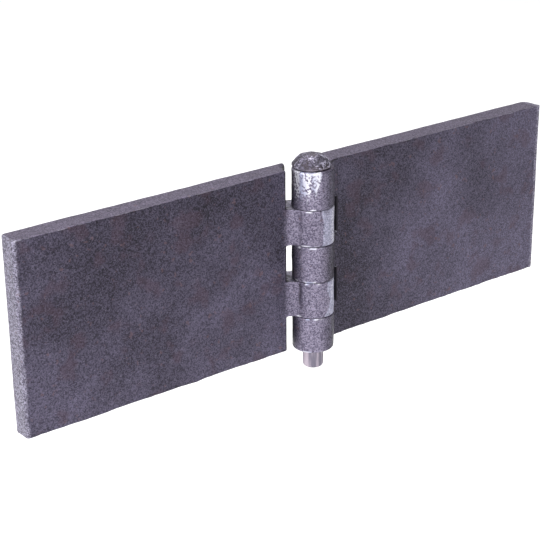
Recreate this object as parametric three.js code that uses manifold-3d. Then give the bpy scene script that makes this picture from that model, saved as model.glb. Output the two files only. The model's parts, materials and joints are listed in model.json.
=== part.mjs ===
// A heavy weld-on leaf hinge: two plain steel leaves with interleaved eyes on one loose headed pin.
// Millimetres, +Z up along the pin. The front, where the eyes stand proud, faces -Y.
// The origin lies on the back (weld) face of the fixed leaf, at mid height, half way along its reach.

import * as THREE from 'three';
import { mergeVertices } from 'three/addons/utils/BufferGeometryUtils.js';
import Module from 'manifold-3d';

// Driving dimensions.
const LEAF_REACH = 122;        // pin axis to the outer end of a leaf
const LEAF_HEIGHT = 70;
const LEAF_THICKNESS = 9;
const FRONT_SETBACK = 1.8;     // front face of the leaves behind the pin axis
const END_ROUND = 1.5;         // rolled vertical edges at the outer ends
const EYE_COUNT = 5;           // odd ones, counted from below, are on the fixed leaf
const EYE_PITCH = 14;
const EYE_BASE = -0.6;         // bottom of the lowest eye, just below the leaves' bottom edge
const EYE_TOP = LEAF_HEIGHT;   // the highest eye ends level with the leaves
const EYE_RADIUS = 7.8;
const EYE_GAP = 0.3;           // axial play between neighbouring eyes
const PIN_RADIUS = 4;
const PIN_PLAY = 0.25;         // radial play of the pin in the eyes
const NOTCH_RADIUS = 11.9;     // hollow edge of a leaf, round the pin, that clears the other leaf's eyes
const WEB_FILLET = 4.4;        // hollow between an eye and the front face of its leaf
const HEAD_RADIUS = 7.2;
const HEAD_HEIGHT = 5;
const HEAD_RIM = 1.1;          // straight rim under the dome
const PIN_TAIL = 8.6;          // pin below the leaves' bottom edge
const TAIL_CHAMFER = 1.2;
const STEEL = { color: 0x5b5864, roughness: 0.55, metalness: 0.85 };
const BRIGHT_STEEL = { color: 0x8f8c97, roughness: 0.4, metalness: 0.9 };
const ARC_SEGMENTS = 64;       // per full turn

// Derived places.
const BACK_FACE = FRONT_SETBACK + LEAF_THICKNESS;
const BORE_RADIUS = PIN_RADIUS + PIN_PLAY;
const ORIGIN_REACH = LEAF_REACH / 2;

const wasm = await Module();
wasm.setup();

function toManifold(geometry) {
  const bare = geometry.clone();
  bare.deleteAttribute('normal');
  bare.deleteAttribute('uv');
  const merged = mergeVertices(bare, 1e-4);
  return new wasm.Manifold(new wasm.Mesh({
    numProp: 3,
    vertProperties: new Float32Array(merged.attributes.position.array),
    triVerts: new Uint32Array(merged.index.array),
  }));
}

function toGeometry(solid) {
  const mesh = solid.getMesh();
  const geometry = new THREE.BufferGeometry();
  geometry.setAttribute('position', new THREE.BufferAttribute(mesh.vertProperties, 3));
  geometry.setIndex(new THREE.BufferAttribute(mesh.triVerts, 1));
  geometry.computeVertexNormals();
  return geometry;
}

function extrude(outline, bottom, height) {
  const geometry = new THREE.ExtrudeGeometry(outline, {
    depth: height,
    bevelEnabled: false,
    curveSegments: ARC_SEGMENTS / 4,
  });
  return toManifold(geometry.translate(0, 0, bottom));
}

// The flat of a leaf on the +X side: from the hollow edge round the pin to the rounded outer end.
function plate() {
  const frontAngle = Math.asin(FRONT_SETBACK / NOTCH_RADIUS);
  const backAngle = Math.asin(BACK_FACE / NOTCH_RADIUS);
  const outline = new THREE.Shape();
  outline.moveTo(NOTCH_RADIUS * Math.cos(frontAngle), FRONT_SETBACK);
  outline.lineTo(LEAF_REACH - END_ROUND, FRONT_SETBACK);
  outline.absarc(LEAF_REACH - END_ROUND, FRONT_SETBACK + END_ROUND, END_ROUND, -Math.PI / 2, 0);
  outline.absarc(LEAF_REACH - END_ROUND, BACK_FACE - END_ROUND, END_ROUND, 0, Math.PI / 2);
  outline.lineTo(NOTCH_RADIUS * Math.cos(backAngle), BACK_FACE);
  outline.absarc(0, 0, NOTCH_RADIUS, backAngle, frontAngle, true);
  return extrude(outline, 0, LEAF_HEIGHT);
}

// Bottom and top of an eye, counted upwards from 0, with its share of the play at both ends.
function eyeSpan(index) {
  const bottom = EYE_BASE + index * EYE_PITCH;
  const top = index === EYE_COUNT - 1 ? EYE_TOP + EYE_GAP / 2 : bottom + EYE_PITCH;
  return [bottom + EYE_GAP / 2, top - EYE_GAP / 2];
}

// One eye with the web that joins it to the plate: the round barrel, a slope behind it up to the
// plate's back face, and a hollow fillet on the front.
function eye(index) {
  const [bottom, top] = eyeSpan(index);
  const filletY = FRONT_SETBACK - WEB_FILLET;
  const filletX = Math.sqrt((EYE_RADIUS + WEB_FILLET) ** 2 - filletY ** 2);
  const frontAngle = Math.atan2(filletY, filletX);
  const overlap = 2;
  const outline = new THREE.Shape();
  outline.moveTo(filletX + overlap, FRONT_SETBACK);
  outline.lineTo(filletX + overlap, BACK_FACE);
  outline.lineTo(EYE_RADIUS / 2, BACK_FACE);
  outline.absarc(0, 0, EYE_RADIUS, Math.PI / 2, frontAngle + 2 * Math.PI);
  outline.absarc(filletX, filletY, WEB_FILLET, frontAngle + Math.PI, Math.PI / 2, true);
  return extrude(outline, bottom, top - bottom);
}

function bore() {
  const geometry = new THREE.CylinderGeometry(BORE_RADIUS, BORE_RADIUS, LEAF_HEIGHT * 1.2, ARC_SEGMENTS);
  return toManifold(geometry.rotateX(Math.PI / 2).translate(0, 0, LEAF_HEIGHT / 2));
}

// A leaf on the +X side that carries every second eye, counted upwards from firstEye.
function leaf(name, firstEye) {
  let solid = plate();
  for (let index = firstEye; index < EYE_COUNT; index += 2) {
    solid = solid.add(eye(index));
  }
  const mesh = new THREE.Mesh(toGeometry(solid.subtract(bore())), new THREE.MeshStandardMaterial(STEEL));
  mesh.name = name;
  return mesh;
}

// The other leaf is the mirror image, so its triangles are turned over as well.
function mirrorAcrossPin(mesh) {
  const geometry = mesh.geometry;
  geometry.scale(-1, 1, 1);
  const index = geometry.index.array;
  for (let corner = 0; corner < index.length; corner += 3) {
    [index[corner], index[corner + 1]] = [index[corner + 1], index[corner]];
  }
  geometry.computeVertexNormals();
  return mesh;
}

// The pin: chamfered tail, straight shank and a domed head that rests on the top eye.
function pin() {
  const seat = EYE_TOP + EYE_GAP / 2;
  const dome = HEAD_HEIGHT - HEAD_RIM;
  const outline = new THREE.Path();
  outline.moveTo(0, -PIN_TAIL);
  outline.lineTo(PIN_RADIUS - TAIL_CHAMFER, -PIN_TAIL);
  outline.lineTo(PIN_RADIUS, -PIN_TAIL + TAIL_CHAMFER);
  outline.lineTo(PIN_RADIUS, seat);
  outline.lineTo(HEAD_RADIUS, seat);
  outline.lineTo(HEAD_RADIUS, seat + HEAD_RIM);
  outline.absellipse(0, seat + HEAD_RIM, HEAD_RADIUS, dome, 0, Math.PI / 2);
  const geometry = new THREE.LatheGeometry(outline.getPoints(8), ARC_SEGMENTS);
  const mesh = new THREE.Mesh(
    toGeometry(toManifold(geometry.rotateX(Math.PI / 2))),
    new THREE.MeshStandardMaterial(BRIGHT_STEEL),
  );
  mesh.name = 'hinge_pin';
  return mesh;
}

const hinge = new THREE.Group();
hinge.add(leaf('fixed_leaf', 0));
hinge.add(mirrorAcrossPin(leaf('moving_leaf', 1)));
hinge.add(pin());
hinge.position.set(-ORIGIN_REACH, -BACK_FACE, -LEAF_HEIGHT / 2);

export default hinge;
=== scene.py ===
"""Looks of a weld-on leaf hinge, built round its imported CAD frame. Metres, +Z up along the pin."""
import itertools
import json
import math

import bmesh
import bpy
import numpy as np
from mathutils import Matrix, Vector


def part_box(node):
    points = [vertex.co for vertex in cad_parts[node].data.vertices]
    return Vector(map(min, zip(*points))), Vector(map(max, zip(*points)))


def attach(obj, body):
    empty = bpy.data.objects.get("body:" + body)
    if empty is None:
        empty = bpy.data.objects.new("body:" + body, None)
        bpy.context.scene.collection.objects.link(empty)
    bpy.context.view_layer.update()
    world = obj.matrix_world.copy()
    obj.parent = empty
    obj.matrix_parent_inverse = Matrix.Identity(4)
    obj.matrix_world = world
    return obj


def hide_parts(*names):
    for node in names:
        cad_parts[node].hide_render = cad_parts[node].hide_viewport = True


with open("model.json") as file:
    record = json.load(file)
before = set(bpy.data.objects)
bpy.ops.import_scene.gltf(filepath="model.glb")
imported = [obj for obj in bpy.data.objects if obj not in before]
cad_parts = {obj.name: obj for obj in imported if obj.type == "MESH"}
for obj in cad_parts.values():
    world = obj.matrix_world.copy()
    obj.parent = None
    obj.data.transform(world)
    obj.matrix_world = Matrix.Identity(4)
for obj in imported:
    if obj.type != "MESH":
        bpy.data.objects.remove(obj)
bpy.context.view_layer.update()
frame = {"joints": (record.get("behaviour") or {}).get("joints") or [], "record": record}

# Shapes are worked out in millimetres round the pin axis, from the leaves' bottom edge up.
# Angles round the pin are in degrees from the front, -Y, growing towards the moving leaf, -X.
# A side is 1 for the fixed leaf, on +X, and -1 for the moving leaf, on -X.
MM = 0.001

# What the frame says.
FIXED_LOW, FIXED_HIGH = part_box("fixed_leaf")
MOVING_LOW, MOVING_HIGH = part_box("moving_leaf")
PIN_LOW, PIN_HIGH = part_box("hinge_pin")
PIN_AXIS = Vector(frame["joints"][0]["pos_m"])
MOUNTS = {mount["name"]: Vector(mount["pos_m"]) for mount in frame["record"]["mounts"]}
BASE = Vector((PIN_AXIS.x, PIN_AXIS.y, MOVING_LOW.z))
LEAF_HEIGHT = (MOVING_HIGH.z - MOVING_LOW.z) / MM
EYE_BASE = (FIXED_LOW.z - BASE.z) / MM
EYE_TOP = (FIXED_HIGH.z - BASE.z) / MM
LEAF_REACH = (FIXED_HIGH.x - PIN_AXIS.x) / MM
BACK_FACE = (FIXED_HIGH.y - PIN_AXIS.y) / MM
THICKNESS = 2 * (FIXED_HIGH.y - MOUNTS["fixed_leaf_end"].y) / MM
FRONT_FACE = BACK_FACE - THICKNESS
EYE_RADIUS = (PIN_AXIS.y - FIXED_LOW.y) / MM
HEAD_RADIUS = (PIN_HIGH.x - PIN_AXIS.x) / MM
TAIL = (PIN_LOW.z - BASE.z) / MM
HEAD_TOP = (PIN_HIGH.z - BASE.z) / MM

# Eyes and webs. A web runs from its eye to WEB_END on the front face, and on into the plate. Behind
# the eye, a slope leaves the barrel SLOPE_ANGLE degrees round from +X, and rounds over to the back face.
EYE_COUNT = 5
EYE_PITCH = 14.0
EYE_GAP = 0.16
BORE_RADIUS = 4.1
WEB_FILLET = 5.4
WEB_END = EYE_RADIUS + 5
WEB_OVERLAP = 2.5
WEB_BACK_ROUND = 4.5
WEB_BACK_START = 6.0
SLOPE_ANGLE = 105
TOP_RIM_ROUND = 0.8
SEAM_RIM_ROUND = 0.4
BOTTOM_RIM_ROUND = 0.9

# Flats. A notch is the radius of the hollow edge that clears the other leaf's eyes. WORN_AND_LIT_WIDTH
# is how far the wear and painted light at the outer end reach in, for each side.
FIXED_NOTCH = 13.0
MOVING_NOTCH = 11.05
NOTCH_CORNER_FRONT = 0.5
NOTCH_CORNER_BACK = 1.8
NOTCH_FRONT_CHAMFER = 0.4
NOTCH_BACK_CHAMFER = (0.5, 0.9)
END_ROUND_FRONT = 1.0
END_ROUND_BACK = 2.6
WORN_AND_LIT_WIDTH = {1: 2.4, -1: 1.6}

# Pin.
PIN_RADIUS = 3.9
TAIL_ROUND = 1.5
HEAD_GAP = 0.3
HEAD_RIM = 1.1
HEAD_ROUND = 0.5
HEAD_OFFSET = (-0.38, 0.32, 0.0)
DOME_FULLNESS = 3.0
PIN_STEPS = 144

# Relief of the leaves, as layers of a height and a size of lump.
EYE_LUMPS = ((0.09, 4.5), (0.05, 1.7))
EYE_GRAIN = ((0.022, 0.8),)
FLAT_WAVES = ((0.10, 17), (0.04, 4))
EDGE_NICKS = ((0.22, 6), (0.16, 2.2))

# Weld lines on the moving leaf's eyes: where they are round the pin, how wide, and how deep.
CREASE_TURN, CREASE_WIDTH, CREASE_DEPTH = 16, 5, 0.13
GROOVE_TURN, GROOVE_WIDTH, GROOVE_DEPTH = 79, 9, 0.30

# The voxel grid is fine round the eyes. The plain middle of a leaf is squeezed while it is remeshed.
VOXEL = 0.26
SQUEEZE_FROM = 17.0
SQUEEZE_TO = LEAF_REACH - 5.0
SQUEEZE = 0.16

# Linear colours.
SCALE_DARK = (0.005, 0.004, 0.008)
SCALE_PALE = (0.050, 0.042, 0.068)
# A paler copy of the scale, for painted light on the flats.
LIT_SCALE_DARK = (0.052, 0.045, 0.073)
LIT_SCALE_PALE = (0.126, 0.111, 0.174)
SCALE_BLOOM = (0.060, 0.036, 0.054)
RUBBED_DARK = (0.075, 0.064, 0.105)
RUBBED_PALE = (0.255, 0.228, 0.312)
# Level faces: shear-cut steel, made paler also as painted light.
SHEARED_LIT_DARK = (0.046, 0.038, 0.060)
SHEARED_LIT_PALE = (0.140, 0.117, 0.177)
# Outer ends: wear, with painted light.
WORN_LIT_END_DARK = (0.060, 0.053, 0.078)
WORN_LIT_END_PALE = (0.280, 0.262, 0.345)
# Painted highlights and burnish.
HIGHLIGHT_AND_BARE = (0.640, 0.635, 0.710)
HIGHLIGHT_AND_BARE_BLUE = (0.330, 0.340, 0.470)
POLISHED_DARK = (0.190, 0.190, 0.255)
POLISHED_PALE = (0.370, 0.362, 0.480)
RUST = (0.120, 0.070, 0.080)
# Painted shade in the hollows and the groove, also dark specks on the web tops.
SHADE_AND_DIRT_BLACK = (0.012, 0.010, 0.015)
SHANK_DARK = (0.150, 0.136, 0.180)
SHANK_PALE = (0.400, 0.345, 0.405)
HEAD_DARK = (0.035, 0.031, 0.042)
HEAD_PALE = (0.130, 0.116, 0.165)
HEAD_BROWN = (0.040, 0.030, 0.034)
HEAD_STRUCK = (0.420, 0.395, 0.510)
METALLIC = 0.7

# Stage. Each light has a place, the size of its panel in metres and a power in watts.
FLOOR_SIZE = 12
FLOOR_DROP = 0.12
FLOOR_WHITE = (0.92, 0.92, 0.92, 1)
WORLD_STRENGTH = 0.56
LIGHTS = {
    "left": ((-1.05, -0.10, 0.45), (0.4, 0.6), 9),
    "key": ((-0.45, -0.95, 0.50), (0.3, 0.5), 6.5),
    "top": ((0.1, 0.5, 1.3), (1.2, 1.2), 20),
}
CAMERA_FROM_BASE = Vector((-0.3420, -0.4087, 0.2418))
CAMERA_LENS = 103.3
CAMERA_HEADING = 38.24
CAMERA_PITCH = 21.69
CAMERA_ROLL = -0.67


# --- numbers over many points -------------------------------------------------------------------

def lattice_noise(points, size, seed=0):
    """Smooth noise from -1 to 1, with lumps about size across."""
    place = points / size
    cell = np.floor(place)
    part = place - cell
    part = part * part * (3 - 2 * part)
    total = np.zeros(len(points))
    for corner in itertools.product((0, 1), repeat=3):
        key = (cell + corner) @ np.array((127.1, 311.7, 74.7)) + seed * 53.3
        value = np.modf(np.abs(np.sin(key) * 43758.5453))[0] * 2 - 1
        total += value * np.prod(np.where(corner, part, 1 - part), axis=1)
    return total


def ramp(values, low, high):
    """0 below low, 1 above high, smooth between them."""
    part = np.clip((values - low) / (high - low), 0, 1)
    return part * part * (3 - 2 * part)


def band(values, low, high, soft):
    """1 between low and high, falling smoothly to 0 within soft of them."""
    return ramp(values, low - soft, low + soft) * (1 - ramp(values, high - soft, high + soft))


def line_at(values, middle, width):
    """1 at middle, falling to 0 within width of it."""
    return np.exp(-((values - middle) / (width / 2)) ** 2)


def relief(points, layers, seed):
    """Adds up layers of lumps, each with its own seed from the given one upwards."""
    return sum(height * lattice_noise(points, size, seed + step)
               for step, (height, size) in enumerate(layers))


# --- meshes ---------------------------------------------------------------------------------------

def arc(x, y, radius, start, end, steps):
    """Points on an arc, angles in degrees, both ends included."""
    angles = np.radians(np.linspace(start, end, steps))
    return [(x + radius * math.cos(a), y + radius * math.sin(a)) for a in angles]


def add_prism(bm, loops, low, high):
    """Adds the closed prism over one outline, and any holes in it, to bm."""
    edges = []
    for loop in loops:
        verts = [bm.verts.new((x, y, low)) for x, y in loop]
        edges += [bm.edges.new((a, b)) for a, b in zip(verts, verts[1:] + verts[:1])]
    filled = bmesh.ops.triangle_fill(bm, edges=edges, use_beauty=True)["geom"]
    faces = [item for item in filled if isinstance(item, bmesh.types.BMFace)]
    lifted = bmesh.ops.extrude_face_region(bm, geom=faces, use_keep_orig=True)["geom"]
    top = [item for item in lifted if isinstance(item, bmesh.types.BMVert)]
    bmesh.ops.translate(bm, verts=top, vec=(0, 0, high - low))


def new_object(name, bm):
    bmesh.ops.recalc_face_normals(bm, faces=bm.faces)
    mesh = bpy.data.meshes.new(name)
    bm.to_mesh(mesh)
    bm.free()
    piece = bpy.data.objects.new(name, mesh)
    bpy.context.scene.collection.objects.link(piece)
    return piece


def apply_modifier(piece, kind, **settings):
    modifier = piece.modifiers.new(kind.lower(), kind)
    for key, value in settings.items():
        setattr(modifier, key, value)
    graph = bpy.context.evaluated_depsgraph_get()
    mesh = bpy.data.meshes.new_from_object(piece.evaluated_get(graph))
    piece.modifiers.clear()
    piece.data = mesh


def get_points(piece):
    points = np.empty(len(piece.data.vertices) * 3)
    piece.data.vertices.foreach_get("co", points)
    return points.reshape(-1, 3)


def set_points(piece, points):
    piece.data.vertices.foreach_set("co", points.ravel())
    piece.data.update()


def get_normals(piece):
    normals = np.empty(len(piece.data.vertices) * 3)
    piece.data.vertex_normals.foreach_get("vector", normals)
    return normals.reshape(-1, 3)


def set_mask(piece, name, values):
    """Stores one number per vertex for the materials to read."""
    attribute = piece.data.attributes.new(name, "FLOAT", "POINT")
    attribute.data.foreach_set("value", np.clip(values, 0, 1).astype(np.float32))


def squeeze(points, undo=False):
    """Shortens the plain middle of a leaf along X, or stretches it back."""
    squeezed_to = SQUEEZE_FROM + (SQUEEZE_TO - SQUEEZE_FROM) * SQUEEZE
    beyond = 2 * (LEAF_REACH - SQUEEZE_TO)
    real = [0, SQUEEZE_FROM, SQUEEZE_TO, SQUEEZE_TO + beyond]
    short = [0, SQUEEZE_FROM, squeezed_to, squeezed_to + beyond]
    known, wanted = (short, real) if undo else (real, short)
    points[:, 0] = np.where(points[:, 0] > 0, np.interp(points[:, 0], known, wanted), points[:, 0])
    return points


def around_pin(points, side):
    """The angle of each point round the pin."""
    return np.degrees(np.arctan2(-side * points[:, 0], -points[:, 1]))


def by_moving_eye(points, upper, lower):
    """The moving leaf's values: upper for its upper eye, and lower for its lower one."""
    return np.where(points[:, 2] > LEAF_HEIGHT / 2, upper, lower)


# --- leaves ---------------------------------------------------------------------------------------
# For each point of a leaf: radial is its distance from the pin axis, turn its angle round the pin,
# and level goes from 0 on an upright face to 1 on a level one.

def plate_outline(notch):
    """The flat of a leaf on the +X side, seen from above. The thin edge at its hollow end is blunt."""
    front = arc(LEAF_REACH - END_ROUND_FRONT, FRONT_FACE + END_ROUND_FRONT, END_ROUND_FRONT, -90, 0, 7)
    back = arc(LEAF_REACH - END_ROUND_BACK, BACK_FACE - END_ROUND_BACK, END_ROUND_BACK, 0, 90, 9)
    back_run, back_rise = NOTCH_BACK_CHAMFER
    back_angle = math.degrees(math.asin((BACK_FACE - back_rise) / notch))
    front_angle = math.degrees(math.asin((FRONT_FACE + NOTCH_FRONT_CHAMFER) / notch))
    hollow = arc(0, 0, notch, back_angle, front_angle, 24)
    back_corner = (hollow[0][0] + back_run, BACK_FACE)
    front_corner = (hollow[-1][0] + NOTCH_FRONT_CHAMFER, FRONT_FACE)
    return [front_corner] + front + back + [back_corner] + hollow


def eye_span(index):
    """Bottom and top of an eye, counted upwards from 0."""
    low = EYE_BASE + index * EYE_PITCH + (EYE_GAP / 2 if index > 0 else 0)
    high = EYE_TOP if index == EYE_COUNT - 1 else EYE_BASE + (index + 1) * EYE_PITCH - EYE_GAP / 2
    return low, high


def eye_outline():
    """An eye with the web that joins it to the plate: a hollow fillet in front, a slope behind."""
    fillet_y = FRONT_FACE - WEB_FILLET
    fillet_x = math.sqrt((EYE_RADIUS + WEB_FILLET) ** 2 - fillet_y ** 2)
    meet = math.degrees(math.atan2(fillet_y, fillet_x))
    root = FIXED_NOTCH + WEB_OVERLAP
    barrel = arc(0, 0, EYE_RADIUS, SLOPE_ANGLE, meet + 360, 90)
    hollow = arc(fillet_x, fillet_y, WEB_FILLET, meet + 180, 90, 16)[1:]
    behind = arc(WEB_BACK_START, BACK_FACE - WEB_BACK_ROUND, WEB_BACK_ROUND, 90, 125, 8)
    return barrel + hollow + [(root, FRONT_FACE), (root, BACK_FACE)] + behind


def round_rim(points, edge, upward, radius):
    """Rounds the end rim of the eye whose end face is at height edge."""
    radial = np.hypot(points[:, 0], points[:, 1])
    out = (radial - (EYE_RADIUS - radius)) / radius
    along = ((points[:, 2] - edge) * upward + radius) / radius
    corner = (out > 0) & (along > 0) & (along < 1.5) & (radial < EYE_RADIUS + 0.3)
    corner &= points[:, 1] < BACK_FACE - 2
    length = np.hypot(out, along)
    shrink = np.where(corner & (length > 1), 1 / np.maximum(length, 1), 1)
    new_radial = np.where(shrink < 1, EYE_RADIUS - radius + out * shrink * radius, radial)
    points[:, :2] *= (new_radial / np.maximum(radial, 1e-6))[:, None]
    new_height = edge + upward * (along * shrink - 1) * radius
    points[:, 2] = np.where(shrink < 1, new_height, points[:, 2])


def round_notch(points, notch):
    """Rounds the upper and lower corners of a plate at its hollow edge, more towards the back."""
    backward = ramp(points[:, 1], FRONT_FACE, BACK_FACE)
    radius = NOTCH_CORNER_FRONT + (NOTCH_CORNER_BACK - NOTCH_CORNER_FRONT) * backward
    middle = LEAF_HEIGHT / 2
    upward = np.sign(points[:, 2] - middle)
    radial = np.hypot(points[:, 0], points[:, 1])
    out = (notch + radius - radial) / radius
    along = (np.abs(points[:, 2] - middle) - (middle - radius)) / radius
    length = np.hypot(out, along)
    corner = (out > 0) & (along > 0) & (length > 1)
    shrink = np.where(corner, 1 / np.maximum(length, 1), 1)
    new_radial = notch + radius - out * shrink * radius
    new_x = np.sqrt(np.maximum(new_radial ** 2 - points[:, 1] ** 2, 0))
    points[:, 0] = np.where(corner, new_x, points[:, 0])
    new_height = middle + upward * (middle - radius + along * shrink * radius)
    points[:, 2] = np.where(corner, new_height, points[:, 2])


def slope_lowest_web(points):
    """Brings the web of the lowest eye up to the plate's bottom edge, away from the barrel."""
    radial = np.hypot(points[:, 0], points[:, 1])
    away = ramp(radial, EYE_RADIUS + 0.5, EYE_RADIUS + 4.5)
    points[:, 2] -= away * np.minimum(points[:, 2], 0)


def rough_leaf(points, normals, side, seed):
    """Forged lumps on the eyes and a gentle wave with nicked edges on the flat."""
    radial = np.hypot(points[:, 0], points[:, 1])
    on_eye = 1 - ramp(radial, EYE_RADIUS + 1, WEB_END)
    outside_bore = ramp(radial, EYE_RADIUS - 1.2, EYE_RADIUS - 0.4)
    lumps = relief(points, EYE_LUMPS, seed) + relief(points, EYE_GRAIN, seed + 6)
    wave = relief(points, FLAT_WAVES, seed + 2)
    along_edge = points * np.array((1, 0.4, 0.0))
    nicks = relief(along_edge, EDGE_NICKS, seed + 4)
    nicks *= 1 - 0.8 * ramp(points[:, 1], FRONT_FACE + 1, FRONT_FACE + 5)
    level = np.abs(normals[:, 2])
    skin = outside_bore * (1 - level * on_eye)
    shift = skin * (on_eye * lumps + (1 - on_eye) * wave) + level * (1 - on_eye) * nicks
    if side < 0:
        shift -= skin * weld_lines(points, side)
    return points + normals * shift[:, None]


def weld_lines(points, side):
    """Depth of the seams on the moving leaf's eyes: a crease on the upper, a groove on the lower."""
    turn = around_pin(points, side)
    wander = 1.2 * lattice_noise(points, 4, 61)
    crease = CREASE_DEPTH * line_at(turn + wander, CREASE_TURN, CREASE_WIDTH)
    groove = GROOVE_DEPTH * line_at(turn + 2 * wander, GROOVE_TURN, GROOVE_WIDTH)
    groove *= ramp(lattice_noise(points, 4, 62), -0.6, 0.3)
    near = np.hypot(points[:, 0], points[:, 1]) < EYE_RADIUS + 1.5
    return by_moving_eye(points, crease, groove) * near


def leaf_blank(name, first_eye, notch):
    """The plate and every second eye, remeshed into one skin, on the +X side."""
    bm = bmesh.new()
    add_prism(bm, [plate_outline(notch)], 0, LEAF_HEIGHT)
    for index in range(first_eye, EYE_COUNT, 2):
        low, high = eye_span(index)
        hole = arc(0, 0, BORE_RADIUS, 0, 352.5, 48)
        add_prism(bm, [eye_outline(), hole], low, high)
    leaf = new_object(name, bm)
    set_points(leaf, squeeze(get_points(leaf)))
    apply_modifier(leaf, "REMESH", mode="VOXEL", voxel_size=VOXEL, use_smooth_shade=True)
    apply_modifier(leaf, "SMOOTH", factor=0.5, iterations=1)
    set_points(leaf, squeeze(get_points(leaf), undo=True))
    return leaf


def round_corners(points, first_eye, notch):
    """Rounds the rims of the eyes, and shapes the fixed leaf's lowest web or the moving leaf's notch."""
    if first_eye == 0:
        slope_lowest_web(points)
        round_rim(points, EYE_BASE, -1, BOTTOM_RIM_ROUND)
    else:
        round_notch(points, notch)
    for index in range(first_eye, EYE_COUNT, 2):
        radius = TOP_RIM_ROUND if index == EYE_COUNT - 1 else SEAM_RIM_ROUND
        round_rim(points, eye_span(index)[1], 1, radius)


def add_leaf(name, side, first_eye, notch, seed):
    """A whole leaf, built on +X and turned over to its own side at the end."""
    leaf = leaf_blank(name, first_eye, notch)
    points = get_points(leaf)
    round_corners(points, first_eye, notch)
    set_points(leaf, points)
    normals = get_normals(leaf)
    points = rough_leaf(points, normals, side, seed)
    paint_leaf(leaf, points, normals, side, notch)
    points[:, 0] *= side
    if side < 0:
        leaf.data.flip_normals()
    place(leaf, points)
    return leaf


def paint_leaf(leaf, points, normals, side, notch):
    """Masks for the material: rubbed eyes and webs, level faces paler as shear-cut steel and painted
    light, painted highlights with burnish and chips, painted shade with dark specks, and painted light
    on the flats and outer ends.
    """
    radial = np.hypot(points[:, 0], points[:, 1])
    turn = around_pin(points, side)
    level = np.abs(normals[:, 2])
    uneven = lattice_noise(points, 3, 40)
    rubbed = 1 - ramp(radial + 0.8 * uneven, EYE_RADIUS + 2.0, EYE_RADIUS + 5.5)
    if side > 0:
        # Past 88 degrees round, the fixed eyes keep their dark scale: painted shade on the limb beside
        # the moving leaf.
        rubbed *= band(turn + 3 * uneven, 0, 88, 28)
        polished = np.zeros(len(points))
        burnish_and_highlight = fixed_burnish_and_highlight(points, turn)
    else:
        rubbed *= by_moving_eye(points, 0.85, 1 - 0.3 * ramp(turn, 20, 80))
        polished = moving_patches(points, turn)
        # Painted highlight: the polished patches brighten towards the fixed leaf's side.
        burnish_and_highlight = polished * ramp(-turn, 5, 45)
    outside = ramp(radial, EYE_RADIUS - 0.9, EYE_RADIUS - 0.6) * (radial < EYE_RADIUS + 0.5)
    end = LEAF_REACH - WORN_AND_LIT_WIDTH[side]
    set_mask(leaf, "rubbed", rubbed)
    # Level faces painted paler: shear-cut steel and painted light.
    set_mask(leaf, "sheared_and_lit", ramp(level, 0.5, 0.9) * (1 - rubbed))
    # Painted highlights, and burnish on the top eye.
    set_mask(leaf, "highlight_and_burnish", burnish_and_highlight * outside)
    set_mask(leaf, "polished", polished * outside)
    # Painted highlights on the rims and web tops, and bright chips.
    set_mask(leaf, "rim", painted_highlights_and_chips(points, radial, turn, level))
    # Painted shade in the hollows and the groove, and dark specks on the web tops.
    set_mask(leaf, "shade_and_dirt", shade_and_dirt(points, radial, level, side, notch))
    # Wear and painted light at the outer end.
    set_mask(leaf, "worn_and_lit_end", ramp(points[:, 0] + 0.3 * uneven, end, end + 1.1))
    # Painted light on the flats.
    set_mask(leaf, "lit_scale", lit_scale_amount(points, side))


def lit_scale_amount(points, side):
    """Painted light on the mill scale: paler towards the outer end and the bottom, in patches."""
    reach = points[:, 0]
    low = 1 - points[:, 2] / LEAF_HEIGHT
    patchy = 0.12 * lattice_noise(points, 22, 48)
    if side > 0:
        middle = ramp(reach, 8, 75) * (0.24 + 0.34 * low)
        return 0.30 + middle + 0.55 * ramp(reach, 85, 115) + patchy
    near_end = 0.32 * ramp(reach, 85, LEAF_REACH)
    near_eyes = 0.15 * (1 - ramp(reach, 20, 55))
    return 0.06 + 0.55 * ramp(low, 0, 0.9) + (near_end + near_eyes) * (1 - low) + patchy


def web_tops(points, radial, level):
    """The tops of the webs that another eye stands over."""
    between = (radial > EYE_RADIUS) * (radial < WEB_END)
    return ramp(level, 0.6, 0.9) * between * (points[:, 2] < LEAF_HEIGHT - 5)


def shade_and_dirt(points, radial, level, side, notch):
    """Painted shade beside the other leaf's eyes and in the groove, and dark specks on the tops of the
    webs.
    """
    row = np.floor((points[:, 2] - EYE_BASE) / EYE_PITCH)
    beside_eye = (row % 2 == 1) if side > 0 else (row % 2 == 0)
    deep = 1 - ramp(radial - notch + 0.2 * lattice_noise(points, 2, 46), 0.45, 0.85)
    # Painted shade in the hollow edge beside each eye of the other leaf, and in the groove.
    hollow = 0.9 * beside_eye * deep * (radial > EYE_RADIUS + 1)
    groove = 0.55 * ramp(weld_lines(points, side), 0.10, 0.25) if side < 0 else 0
    upright = 1 - ramp(level, 0.3, 0.7)
    pits = 0.8 * web_tops(points, radial, level) * ramp(lattice_noise(points, 0.9, 50), 0.0, 0.3)
    return np.maximum(np.maximum(hollow, groove) * upright, pits)


def fixed_burnish_and_highlight(points, turn):
    """The top eye: burnish with a painted highlight in front, more towards its top, a painted dark line
    between two highlights, and painted shade on the limb beside the moving leaf.
    """
    height = points[:, 2] + 1.5 * lattice_noise(points, 4, 41)
    right_edge = 14 + (LEAF_HEIGHT - points[:, 2]) * 1.6
    across = ramp(turn + 4 * lattice_noise(points, 3, 42), right_edge - 5, right_edge + 5)
    # Painted shade on the limb beside the moving leaf, and a painted dark line between two highlights.
    across *= 1 - 0.8 * ramp(turn, 84, 104)
    across *= 1 - 0.5 * line_at(turn + 2 * lattice_noise(points, 3, 47), 43, 9)
    upwards = 0.25 * ramp(height, 55, 60) + 0.75 * ramp(height, 60, 65.5)
    return across * upwards * (points[:, 2] > EYE_BASE + (EYE_COUNT - 1) * EYE_PITCH)


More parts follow.
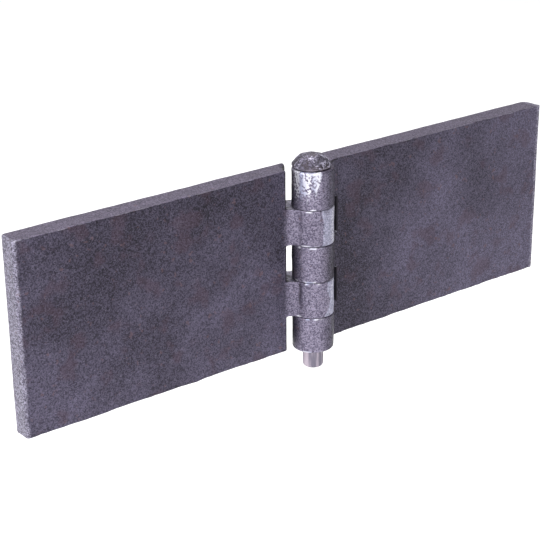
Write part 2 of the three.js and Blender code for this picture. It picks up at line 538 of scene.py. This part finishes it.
def moving_patches(points, turn):
    """Polished steel on the side of the moving eyes that faces the fixed leaf."""
    wander = lattice_noise(points, 5, 43) + 0.5 * lattice_noise(points, 2, 45)
    upper = band(turn + 1.5 * wander, -70, 12, 4)
    lower = band(turn + 13 * wander, -70, -10, 5)
    return by_moving_eye(points, upper, lower)


def painted_highlights_and_chips(points, radial, turn, level):
    """Painted highlights along the rims of the eyes and a painted sheen on the tops of the webs, with
    bright chipped edges.
    """
    step = (points[:, 2] - EYE_BASE) / EYE_PITCH
    distance = np.abs(step - np.round(step)) * EYE_PITCH
    on_rim = (radial > EYE_RADIUS - 0.8) * (radial < EYE_RADIUS + 0.4)
    broken = ramp(lattice_noise(points, 1.5, 44), 0.0, 0.4)
    # Painted highlight along the rims.
    line = (1 - ramp(distance, 0.5, 0.8)) * on_rim * band(turn, 20, 95, 20) * broken
    corner = band(level, 0.25, 0.85, 0.1) * (points[:, 1] < FRONT_FACE + 1) * (radial > WEB_END)
    chips = 0.35 * corner * ramp(lattice_noise(points, 1.3, 49), 0.1, 0.5)
    return np.maximum(np.maximum(line, chips), 0.2 * web_tops(points, radial, level))


def place(piece, points):
    """Sets the points, given in millimetres round the pin axis, as metres in the row's frame."""
    set_points(piece, points * MM + np.array(BASE))
    for polygon in piece.data.polygons:
        polygon.use_smooth = True


# --- pin ------------------------------------------------------------------------------------------

def pin_profile():
    """Radius and height from the tail's middle, up the shank and round the head to its top."""
    seat = EYE_TOP + HEAD_GAP
    dome = HEAD_TOP - seat - HEAD_RIM
    tail = [(r, TAIL) for r in np.linspace(0, PIN_RADIUS - TAIL_ROUND, 8)]
    chamfer = arc(PIN_RADIUS - TAIL_ROUND, TAIL + TAIL_ROUND, TAIL_ROUND, -80, 0, 8)
    shank = [(PIN_RADIUS, z) for z in np.linspace(TAIL + TAIL_ROUND + 0.3, seat, 220)]
    under = [(r, seat) for r in np.linspace(PIN_RADIUS + 0.3, HEAD_RADIUS - 0.4, 10)]
    rim = arc(HEAD_RADIUS - HEAD_ROUND, seat + HEAD_ROUND, HEAD_ROUND, -80, 0, 6)
    cap = [(HEAD_RADIUS * part, seat + HEAD_RIM + dome * (1 - part ** DOME_FULLNESS))
           for part in np.linspace(1, 0, 46)]
    return tail + chamfer + shank + under + rim + cap


def lathe(profile):
    """Turns a profile of radius and height round Z into a closed skin. It ends in points on the axis."""
    bm = bmesh.new()
    rings = []
    for radius, height in profile:
        if radius < 1e-6:
            rings.append([bm.verts.new((0, 0, height))])
            continue
        turns = [2 * math.pi * step / PIN_STEPS for step in range(PIN_STEPS)]
        rings.append([bm.verts.new((radius * math.cos(t), radius * math.sin(t), height)) for t in turns])
    for lower, upper in zip(rings, rings[1:]):
        for step in range(PIN_STEPS):
            after = (step + 1) % PIN_STEPS
            corners = [lower[step % len(lower)], lower[after % len(lower)],
                       upper[after % len(upper)], upper[step % len(upper)]]
            bm.faces.new(list(dict.fromkeys(corners)))
    return bm


def add_pin():
    """The pin, with masks for its head and for the parts of it that were struck."""
    pin = new_object("hinge_pin_steel", lathe(pin_profile()))
    points = get_points(pin)
    normals = get_normals(pin)
    head = ramp(points[:, 2], EYE_TOP + 0.2, EYE_TOP + 1.0)
    points += np.outer(np.hypot(points[:, 0], points[:, 1]) > PIN_RADIUS + 0.2, HEAD_OFFSET)
    set_mask(pin, "head", head)
    set_mask(pin, "struck", head * ramp(lattice_noise(points, 3.2, 93), -0.2, 0.3))
    fine = 0.02 * lattice_noise(points, 1.5, 92)
    place(pin, points + normals * (head * hammered(points) + (1 - head) * fine)[:, None])
    return pin


def hammered(points):
    """Height of the struck head: lumps and shallow ridges."""
    lumps = 0.20 * lattice_noise(points, 2.8, 90) + 0.09 * lattice_noise(points, 1.2, 91)
    ridges = 0.20 * np.abs(lattice_noise(points, 3.6, 94)) - 0.12
    return lumps + ridges


# --- materials ------------------------------------------------------------------------------------

class Paint:
    """Builds one material's nodes. A socket is set to a plain value, or linked to another socket."""

    def __init__(self, name):
        self.material = bpy.data.materials.new(name)
        self.material.use_nodes = True
        self.tree = self.material.node_tree
        self.shader = self.tree.nodes["Principled BSDF"]
        self.place = self.tree.nodes.new("ShaderNodeTexCoord").outputs["Object"]

    def fill(self, socket, value):
        if isinstance(value, bpy.types.NodeSocket):
            self.tree.links.new(value, socket)
        elif isinstance(value, tuple) and len(value) == 3 and len(socket.default_value) == 4:
            socket.default_value = (*value, 1)
        else:
            socket.default_value = value

    def mask(self, name):
        node = self.tree.nodes.new("ShaderNodeAttribute")
        node.attribute_name = name
        return node.outputs["Fac"]

    def noise(self, size, detail=2.0, stretch=(1, 1, 1), shift=0.0):
        """Noise with lumps about size millimetres across, longer where stretch is less than 1."""
        mapping = self.tree.nodes.new("ShaderNodeMapping")
        self.fill(mapping.inputs["Vector"], self.place)
        mapping.inputs["Scale"].default_value = stretch
        mapping.inputs["Location"].default_value = (shift, shift * 0.7, shift * 1.3)
        node = self.tree.nodes.new("ShaderNodeTexNoise")
        self.fill(node.inputs["Vector"], mapping.outputs["Vector"])
        node.inputs["Scale"].default_value = 1 / (size * MM)
        node.inputs["Detail"].default_value = detail
        return node.outputs["Fac"]

    def grains(self, size):
        """A random value for each of many irregular cells about size millimetres across."""
        node = self.tree.nodes.new("ShaderNodeTexVoronoi")
        self.fill(node.inputs["Vector"], self.place)
        node.inputs["Scale"].default_value = 1 / (size * MM)
        return node.outputs["Color"]

    def span(self, value, low, high, to_low=0.0, to_high=1.0):
        """Maps low..high smoothly to to_low..to_high."""
        node = self.tree.nodes.new("ShaderNodeMapRange")
        node.interpolation_type = "SMOOTHSTEP"
        for name, item in (("Value", value), ("From Min", low), ("From Max", high),
                           ("To Min", to_low), ("To Max", to_high)):
            self.fill(node.inputs[name], item)
        return node.outputs["Result"]

    def math(self, kind, first, second):
        node = self.tree.nodes.new("ShaderNodeMath")
        node.operation = kind
        self.fill(node.inputs[0], first)
        self.fill(node.inputs[1], second)
        return node.outputs[0]

    def mix(self, factor, first, second):
        node = self.tree.nodes.new("ShaderNodeMix")
        node.data_type = "RGBA"
        sockets = [socket for socket in node.inputs if socket.type == "RGBA"]
        self.fill(node.inputs[0], factor)
        self.fill(sockets[0], first)
        self.fill(sockets[1], second)
        return next(socket for socket in node.outputs if socket.type == "RGBA")

    def bump(self, height, depth):
        """Raises the surface by depth millimetres where height is 1."""
        node = self.tree.nodes.new("ShaderNodeBump")
        node.inputs["Strength"].default_value = 1.0
        node.inputs["Distance"].default_value = depth * MM
        self.fill(node.inputs["Height"], height)
        self.fill(self.shader.inputs["Normal"], node.outputs["Normal"])

    def finish(self, color, roughness):
        self.shader.inputs["Metallic"].default_value = METALLIC
        self.fill(self.shader.inputs["Base Color"], color)
        self.fill(self.shader.inputs["Roughness"], roughness)
        return self.material


def mill_scale(paint, tone):
    """The dark skin of the flats: paler in clouds and with painted light, brown in blooms, and finely
    specked.
    """
    clouds = paint.span(paint.noise(16, 2.0, shift=0.6), 0.42, 0.70, 0.0, 0.28)
    shade = paint.span(paint.noise(42, 2.0, shift=5.1), 0.38, 0.58, 0.25, 0.0)
    blooms = paint.span(paint.noise(9, 3.0, shift=4.2), 0.54, 0.66, 0.0, 0.45)
    specks = paint.grains(0.38)
    fresh = paint.mix(tone, SCALE_DARK, SCALE_PALE)
    # The scale as lit, for painted light.
    lit_scale = paint.mix(tone, LIT_SCALE_DARK, LIT_SCALE_PALE)
    lit_and_clouds = paint.math("SUBTRACT", paint.math("ADD", paint.mask("lit_scale"), clouds), shade)
    scale = paint.mix(lit_and_clouds, fresh, lit_scale)
    scale = paint.mix(blooms, scale, SCALE_BLOOM)
    scale = paint.mix(paint.span(specks, 0.82, 0.92, 0.0, 0.22), scale, RUBBED_PALE)
    return paint.mix(paint.span(specks, 0.06, 0.18, 0.45, 0.0), scale, SCALE_DARK)


def worn_steel(paint, tone, coarse, scale):
    """The scale, rubbed on the eyes, paler on the level faces as shear-cut steel and painted light, worn
    and with painted light at the outer end, and rusty in spots.
    """
    rubbed = paint.mix(tone, RUBBED_DARK, RUBBED_PALE)
    rubbed = paint.mix(paint.span(coarse, 0.55, 0.75, 0.0, 0.4), rubbed, RUBBED_DARK)
    sheared_and_lit = paint.mix(tone, SHEARED_LIT_DARK, SHEARED_LIT_PALE)
    sheared_and_lit = paint.mix(paint.span(coarse, 0.50, 0.66, 0.0, 0.40), sheared_and_lit, SHEARED_LIT_DARK)
    rust = paint.span(paint.noise(2.4, 2.0, shift=1.4), 0.66, 0.74, 0.0, 0.5)
    color = paint.mix(paint.mask("rubbed"), scale, rubbed)
    color = paint.mix(paint.mask("sheared_and_lit"), color, sheared_and_lit)
    color = paint.mix(paint.mask("worn_and_lit_end"), color, paint.mix(tone, WORN_LIT_END_DARK, WORN_LIT_END_PALE))
    return paint.mix(rust, color, RUST)


def leaf_steel():
    """Hot-rolled steel: mill scale and worn steel, polished in patches, with painted highlights and
    burnish, painted shade in the hollows and dark specks on the web tops.
    """
    paint = Paint("leaf_steel")
    grain = paint.grains(0.42)
    tone = paint.span(grain, 0.1, 0.9)
    coarse = paint.noise(1.8, 2.0, shift=0.3)
    color = worn_steel(paint, tone, coarse, mill_scale(paint, tone))

    ragged = paint.math("ADD", paint.mask("polished"), paint.span(coarse, 0.3, 0.7, -0.45, 0.3))
    polished = paint.mix(tone, POLISHED_DARK, POLISHED_PALE)
    color = paint.mix(paint.span(ragged, 0.2, 0.9), color, polished)

    streaks = paint.noise(3.5, 1.0, (1, 1, 0.15), 2.1)
    pits = paint.span(paint.noise(0.8, 1.5, shift=2.7), 0.36, 0.60, -0.8, 0.15)
    # Painted highlights on the eyes, with burnish.
    painted_shine = paint.span(paint.math("ADD", paint.mask("highlight_and_burnish"), pits), 0.15, 0.80)
    # Painted highlights along the rims and a painted sheen on the web tops, and chips.
    painted_shine = paint.math("MAXIMUM", painted_shine, paint.mask("rim"))
    color = paint.mix(painted_shine, color, paint.mix(paint.span(streaks, 0.52, 0.66), HIGHLIGHT_AND_BARE, HIGHLIGHT_AND_BARE_BLUE))
    # Painted shade in the hollows and the groove, and dark specks on the web tops.
    color = paint.mix(paint.mask("shade_and_dirt"), color, SHADE_AND_DIRT_BLACK)

    fine = paint.noise(0.48, 2.0)
    paint.bump(paint.math("ADD", fine, paint.math("MULTIPLY", coarse, 0.12)), 0.075)
    rough = paint.span(grain, 0.1, 0.9, 0.56, 0.40)
    return paint.finish(color, paint.math("SUBTRACT", rough, paint.math("MULTIPLY", painted_shine, 0.06)))


def shank_steel(paint):
    """Drawn steel, streaked along the pin and stained brown."""
    streaks = paint.noise(1.6, 2.0, (1, 1, 0.12), 3.4)
    stains = paint.noise(5.0, 3.0, (1, 1, 0.25), 3.9)
    steel = paint.mix(paint.span(streaks, 0.35, 0.65), SHANK_DARK, SHANK_PALE)
    return paint.mix(paint.span(stains, 0.50, 0.68, 0.0, 0.7), steel, HEAD_BROWN)


def head_steel(paint, grain):
    """Dark hammered steel with brown patches and bright chips."""
    patches = paint.span(paint.noise(3.2, 2.0, shift=3.9), 0.50, 0.62, 0.0, 0.6)
    chips = paint.span(paint.noise(0.9, 2.0, shift=4.4), 0.48, 0.60)
    steel = paint.mix(paint.span(grain, 0.38, 0.62), HEAD_DARK, HEAD_PALE)
    steel = paint.mix(patches, steel, HEAD_BROWN)
    return paint.mix(paint.math("MULTIPLY", chips, paint.mask("struck")), steel, HEAD_STRUCK)


def pin_steel():
    paint = Paint("pin_steel")
    grain = paint.noise(0.6, 3.0, shift=3.0)
    paint.bump(grain, 0.16)
    color = paint.mix(paint.mask("head"), shank_steel(paint), head_steel(paint, grain))
    return paint.finish(color, paint.span(grain, 0.3, 0.7, 0.56, 0.42))


# --- stage ----------------------------------------------------------------------------------------

def add_floor():
    bpy.ops.mesh.primitive_plane_add(size=FLOOR_SIZE, location=(0, 0, PIN_LOW.z - FLOOR_DROP))
    floor = bpy.context.object
    floor.name = "floor"
    material = bpy.data.materials.new("floor_white")
    material.use_nodes = True
    shader = material.node_tree.nodes["Principled BSDF"]
    shader.inputs["Base Color"].default_value = FLOOR_WHITE
    shader.inputs["Roughness"].default_value = 0.95
    shader.inputs["Specular IOR Level"].default_value = 0.0
    floor.data.materials.append(material)


def add_light(name, location, size, power):
    """A soft panel that faces the row's origin and can't be seen itself."""
    data = bpy.data.lights.new(name, "AREA")
    data.shape = "RECTANGLE"
    data.size, data.size_y = size
    data.energy = power
    light = bpy.data.objects.new(name, data)
    light.location = location
    light.rotation_euler = (-Vector(location)).to_track_quat("-Z", "Y").to_euler()
    light.visible_camera = False
    bpy.context.scene.collection.objects.link(light)


def add_camera():
    data = bpy.data.cameras.new("camera")
    data.sensor_width = 36
    data.lens = CAMERA_LENS
    data.clip_start = 0.01
    camera = bpy.data.objects.new("camera", data)
    bpy.context.scene.collection.objects.link(camera)
    turn = (Matrix.Rotation(-math.radians(CAMERA_HEADING), 4, "Z")
            @ Matrix.Rotation(math.radians(90 - CAMERA_PITCH), 4, "X")
            @ Matrix.Rotation(math.radians(CAMERA_ROLL), 4, "Z"))
    camera.matrix_world = Matrix.Translation(BASE + CAMERA_FROM_BASE) @ turn
    bpy.context.scene.camera = camera


def add_world():
    world = bpy.data.worlds.new("world")
    world.use_nodes = True
    background = world.node_tree.nodes["Background"]
    background.inputs["Color"].default_value = (1, 1, 1, 1)
    background.inputs["Strength"].default_value = WORLD_STRENGTH
    bpy.context.scene.world = world


steel = leaf_steel()
fixed = add_leaf("fixed_leaf_steel", 1, 0, FIXED_NOTCH, 11)
moving = add_leaf("moving_leaf_steel", -1, 1, MOVING_NOTCH, 23)
pin = add_pin()
for piece, body, slot_name, material in ((fixed, "fixed_leaf", "leaf_steel", steel),
                                         (moving, "moving_leaf", "leaf_steel", steel),
                                         (pin, "hinge_pin", "pin_steel", pin_steel())):
    piece.data.materials.append(material)
    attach(piece, body)
    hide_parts(body)

add_world()
add_floor()
for name, (location, size, power) in LIGHTS.items():
    add_light(name, location, size, power)
add_camera()
bpy.context.scene.view_settings.view_transform = "Standard"
